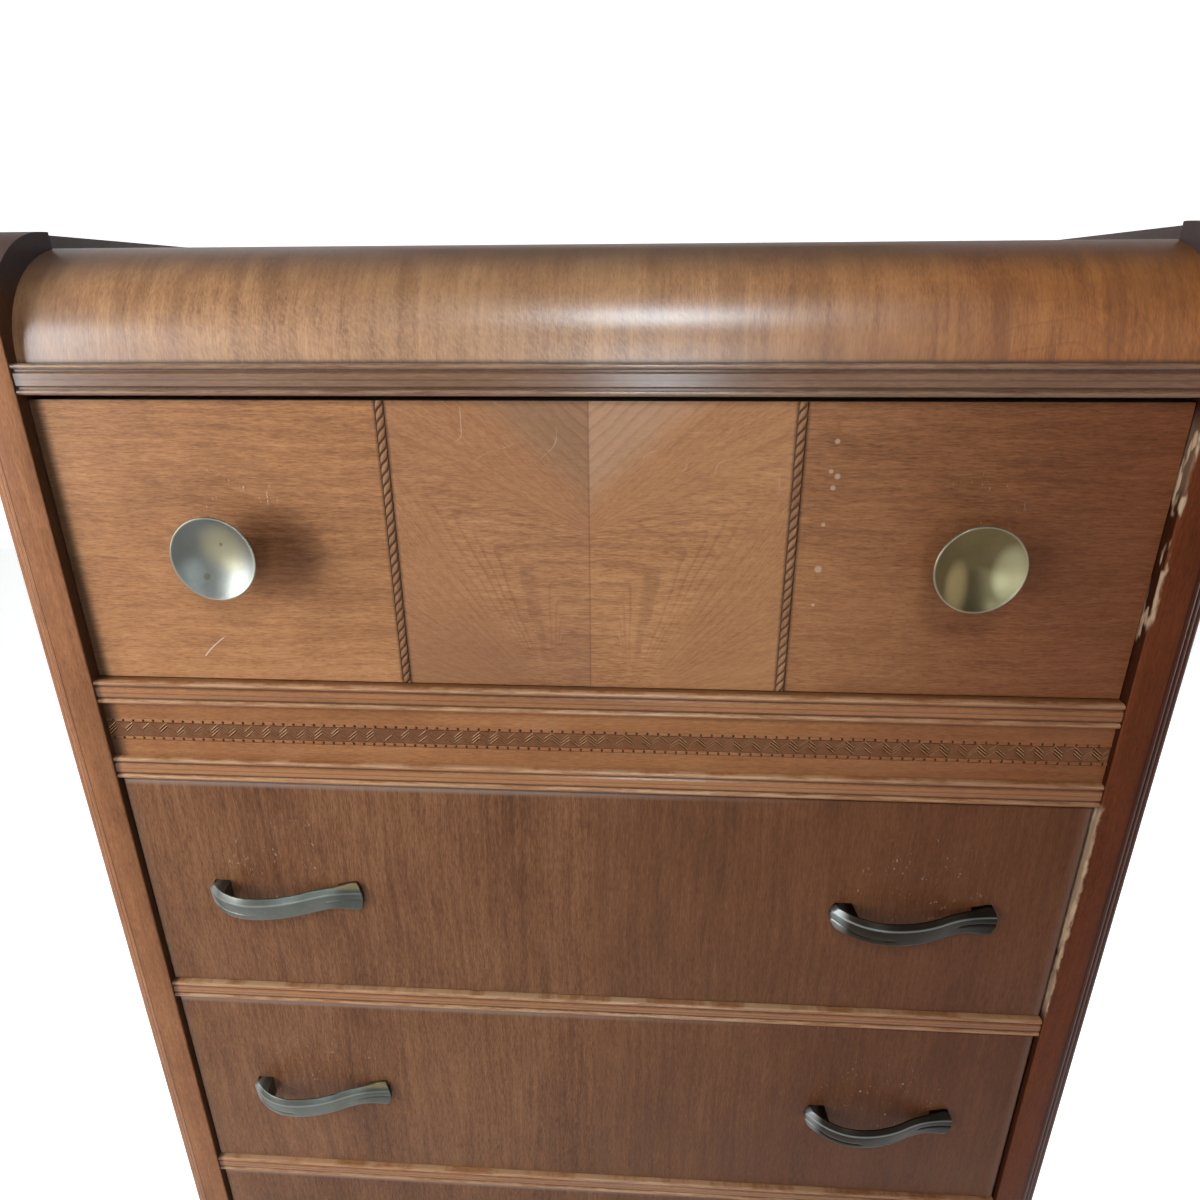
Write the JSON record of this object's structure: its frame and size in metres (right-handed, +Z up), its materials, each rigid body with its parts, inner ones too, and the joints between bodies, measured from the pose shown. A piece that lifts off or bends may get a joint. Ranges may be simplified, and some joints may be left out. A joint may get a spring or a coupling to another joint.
{
  "type": "waterfall chest of drawers",
  "caption": "Free-standing walnut chest with a rolled waterfall top, moulded posts, an embossed frieze and sliding drawers with dished knobs and wave-shaped pulls.",
  "frame": {"origin": "on the floor, under the middle of the chest's bounding box with its knobs", "axes": "+Z up, the drawers open towards -Y, +X to the right seen from the front"},
  "size_m": [0.765, 0.465, 1.1152],
  "materials": {
    "walnut": "satin lacquer",
    "end_veneer": "satin lacquer",
    "waterfall_veneer": "glossy lacquer",
    "embossed_band": "satin lacquer",
    "moulding": "satin lacquer",
    "plywood": "bare",
    "secondary_wood": "bare",
    "drawer_box_wood": "bare",
    "drawer_veneer": "satin lacquer",
    "outer_leaf_veneer": "satin lacquer",
    "centre_leaf_veneer": "satin lacquer",
    "rope_inlay": "satin lacquer",
    "knob_brass": "aged, brushed",
    "pull_bronze": "dark aged bronze",
    "screw_steel": "plain"
  },
  "bodies": {
    "carcass": {"left_front_post": "walnut", "left_end_panel": "end_veneer", "left_rear_post": "walnut", "right_front_post": "walnut", "right_end_panel": "end_veneer", "right_rear_post": "walnut", "waterfall_top": "waterfall_veneer", "top_rail": "secondary_wood", "top_moulding": "moulding", "frieze_board": "walnut", "frieze_band": "embossed_band", "frieze_upper_moulding": "moulding", "frieze_lower_moulding": "moulding", "upper_divider_rail": "moulding", "lower_divider_rail": "moulding", "base_rail": "walnut", "back_panel": "plywood", "rear_rails": "secondary_wood", "left_runners": "secondary_wood", "right_runners": "secondary_wood"},
    "drawer_1": {"drawer_1_front": "secondary_wood", "drawer_1_left_side": "drawer_box_wood", "drawer_1_right_side": "drawer_box_wood", "drawer_1_back": "drawer_box_wood", "drawer_1_bottom": "plywood", "drawer_1_left_outer_leaf": "outer_leaf_veneer", "drawer_1_left_centre_leaf": "centre_leaf_veneer", "drawer_1_right_centre_leaf": "centre_leaf_veneer", "drawer_1_right_outer_leaf": "outer_leaf_veneer", "drawer_1_left_rope_strip": "rope_inlay", "drawer_1_right_rope_strip": "rope_inlay", "drawer_1_left_knob": "knob_brass", "drawer_1_right_knob": "knob_brass", "drawer_1_knob_screws": "screw_steel"},
    "drawer_2": {"drawer_2_front": "drawer_veneer", "drawer_2_left_side": "drawer_box_wood", "drawer_2_right_side": "drawer_box_wood", "drawer_2_back": "drawer_box_wood", "drawer_2_bottom": "plywood", "drawer_2_left_pull": "pull_bronze", "drawer_2_right_pull": "pull_bronze", "drawer_2_pull_screws": "screw_steel"},
    "drawer_3": {"drawer_3_front": "drawer_veneer", "drawer_3_left_side": "drawer_box_wood", "drawer_3_right_side": "drawer_box_wood", "drawer_3_back": "drawer_box_wood", "drawer_3_bottom": "plywood", "drawer_3_left_pull": "pull_bronze", "drawer_3_right_pull": "pull_bronze", "drawer_3_pull_screws": "screw_steel"},
    "drawer_4": {"drawer_4_front": "drawer_veneer", "drawer_4_left_side": "drawer_box_wood", "drawer_4_right_side": "drawer_box_wood", "drawer_4_back": "drawer_box_wood", "drawer_4_bottom": "plywood", "drawer_4_left_pull": "pull_bronze", "drawer_4_right_pull": "pull_bronze", "drawer_4_pull_screws": "screw_steel"}
  },
  "joints": [
    {"name": "drawer_1_slide", "type": "slide", "parent": "carcass", "child": "drawer_1", "axis": [0, -1, 0], "range_m": [0, 0.3]},
    {"name": "drawer_2_slide", "type": "slide", "parent": "carcass", "child": "drawer_2", "axis": [0, -1, 0], "range_m": [0, 0.3]},
    {"name": "drawer_3_slide", "type": "slide", "parent": "carcass", "child": "drawer_3", "axis": [0, -1, 0], "range_m": [0, 0.3]},
    {"name": "drawer_4_slide", "type": "slide", "parent": "carcass", "child": "drawer_4", "axis": [0, -1, 0], "range_m": [0, 0.3]}
  ]
}
